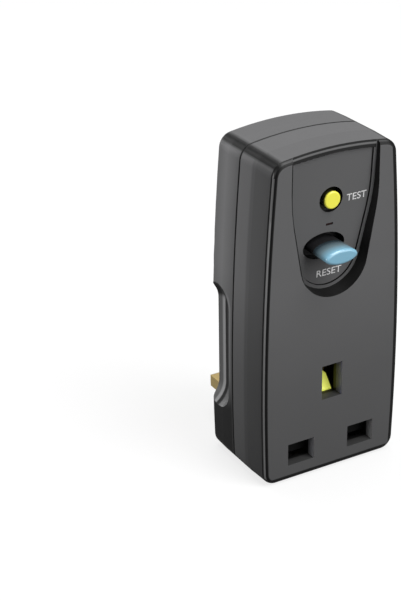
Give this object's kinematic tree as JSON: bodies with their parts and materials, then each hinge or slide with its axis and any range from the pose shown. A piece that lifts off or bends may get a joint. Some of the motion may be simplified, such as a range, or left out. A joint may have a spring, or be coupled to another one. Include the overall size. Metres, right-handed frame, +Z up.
{
  "type": "rcd adapter plug",
  "caption": "Plug-in residual-current adapter: tall grey case with a tilted shield-shaped control panel, test and reset buttons, a shuttered socket in front and plug pins behind.",
  "frame": {"origin": "middle of the bottom end of the case, halfway in depth between its front face and the face that meets the wall socket", "axes": "+Z up along the case, -Y out of the front face, +Y along the plug pins, +X to the right seen from the front"},
  "size_m": [0.0502, 0.064, 0.1093],
  "materials": {
    "case_plastic": "fine satin",
    "panel_plastic": "fine satin",
    "screw_steel": "zinc plated",
    "pin_brass": "drawn",
    "black_plastic": "satin",
    "contact_brass": "rolled",
    "strap_copper": "rolled",
    "cam_plastic": "satin",
    "spring_steel": "drawn",
    "test_plastic": "gloss",
    "window_plastic": "clear red",
    "reset_plastic": "gloss",
    "frame_plastic": "moulded",
    "latch_steel": "stamped",
    "bobbin_plastic": "moulded",
    "winding_copper": "enamelled",
    "core_ferrite": "sintered",
    "board_laminate": "lacquered",
    "capacitor_plastic": "gloss",
    "varistor_plastic": "gloss",
    "resistor_coat": "lacquered"
  },
  "bodies": {
    "case": {"front_cover": "case_plastic", "rear_shell": "case_plastic", "control_panel": "panel_plastic", "case_screws": "screw_steel", "line_pin": "pin_brass", "neutral_pin": "pin_brass", "earth_pin": "pin_brass", "line_sleeve": "black_plastic", "neutral_sleeve": "black_plastic", "line_contact": "contact_brass", "neutral_contact": "contact_brass", "earth_contact": "contact_brass", "line_load_strap": "strap_copper", "neutral_load_strap": "strap_copper", "line_feed_strap": "strap_copper", "neutral_feed_strap": "strap_copper", "shutter_springs": "spring_steel", "test_spring": "spring_steel", "indicator_window": "window_plastic", "reset_spring": "spring_steel", "mechanism_frame": "frame_plastic", "latch_pin": "latch_steel", "coil_bobbin": "bobbin_plastic", "coil_winding": "winding_copper", "coil_yoke": "latch_steel", "transformer_core": "core_ferrite", "sensing_winding": "winding_copper", "circuit_board": "board_laminate", "capacitor": "capacitor_plastic", "varistor": "varistor_plastic", "test_resistor": "resistor_coat", "control_chip": "black_plastic"},
    "test_button": {"test_button": "test_plastic"},
    "reset_button": {"reset_cap": "reset_plastic", "reset_plunger": "black_plastic", "contact_carriage": "frame_plastic", "moving_contacts": "contact_brass"},
    "shutter": {"shutter": "black_plastic", "shutter_cam": "cam_plastic"},
    "trip_plunger": {"trip_plunger": "latch_steel"},
    "latch_lever": {"latch_lever": "latch_steel"}
  },
  "joints": [
    {"name": "test_press", "type": "slide", "parent": "case", "child": "test_button", "axis": [0, 1, 0], "range_m": [0, 0.0012], "stiffness_N_per_m": 400, "springref_m": -0.001, "deforming": ["test_spring"]},
    {"name": "reset_press", "type": "slide", "parent": "case", "child": "reset_button", "axis": [0, 1, 0], "range_m": [0, 0.0031], "stiffness_N_per_m": 800, "springref_m": -0.002, "deforming": ["reset_spring"]},
    {"name": "shutter_drop", "type": "slide", "parent": "case", "child": "shutter", "axis": [0, 0, -1], "range_m": [0, 0.0048], "stiffness_N_per_m": 200, "springref_m": -0.003, "deforming": ["shutter_springs"]},
    {"name": "trip_pull", "type": "slide", "parent": "case", "child": "trip_plunger", "axis": [0, 0, -1], "range_m": [0, 0.00098], "stiffness_N_per_m": 40, "springref_m": -0.002},
    {"name": "latch_turn", "type": "hinge", "parent": "case", "child": "latch_lever", "pos_m": [0, 0.0037, 0.0706], "axis": [1, 0, 0], "range_deg": [0, 11.95]}
  ],
  "couplings": [
    {"joint": "latch_turn", "follows": "trip_pull", "rad_per_m": 212}
  ]
}
